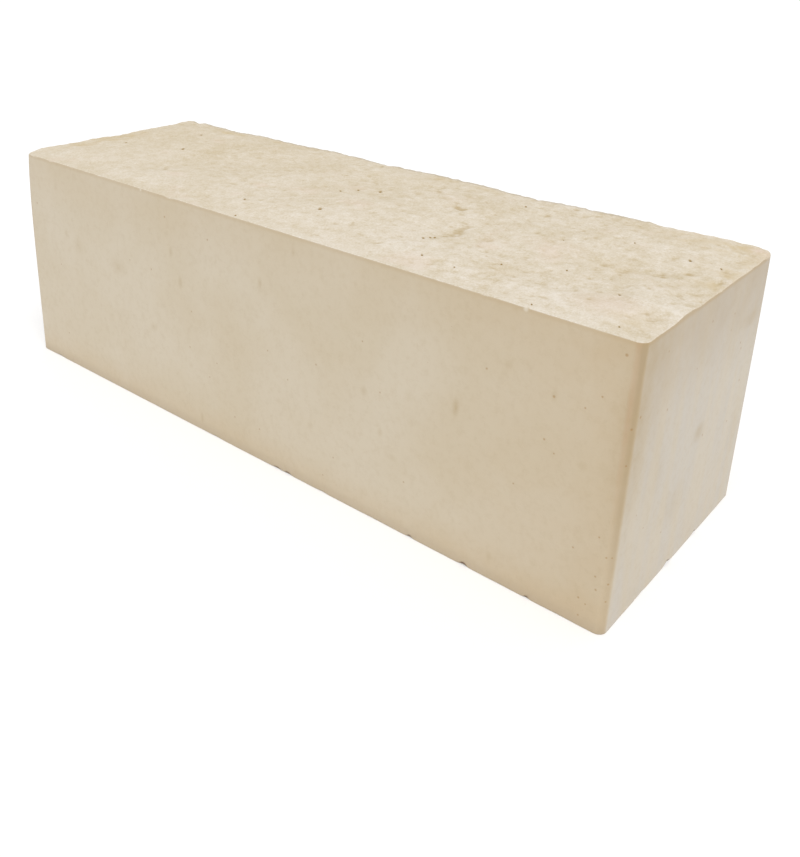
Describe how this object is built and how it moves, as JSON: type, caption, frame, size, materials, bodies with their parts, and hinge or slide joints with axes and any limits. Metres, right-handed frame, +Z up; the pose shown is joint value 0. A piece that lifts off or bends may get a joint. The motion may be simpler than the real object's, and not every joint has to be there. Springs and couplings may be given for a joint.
{
  "type": "linear paver",
  "caption": "Long cream concrete paver with a riven walking face, smooth drafted sides, rounded upright edges and a flat bed, laid edge to edge as paving.",
  "frame": {"origin": "middle of the bed, the flat underside that the paver is laid on", "axes": "+X along the paver's length, +Y across its width, +Z up from the bed to the riven walking face"},
  "size_m": [0.3034, 0.1034, 0.0992],
  "materials": {
    "cast_concrete": "matte"
  },
  "bodies": {
    "root": {"paver": "cast_concrete"}
  },
  "joints": []
}
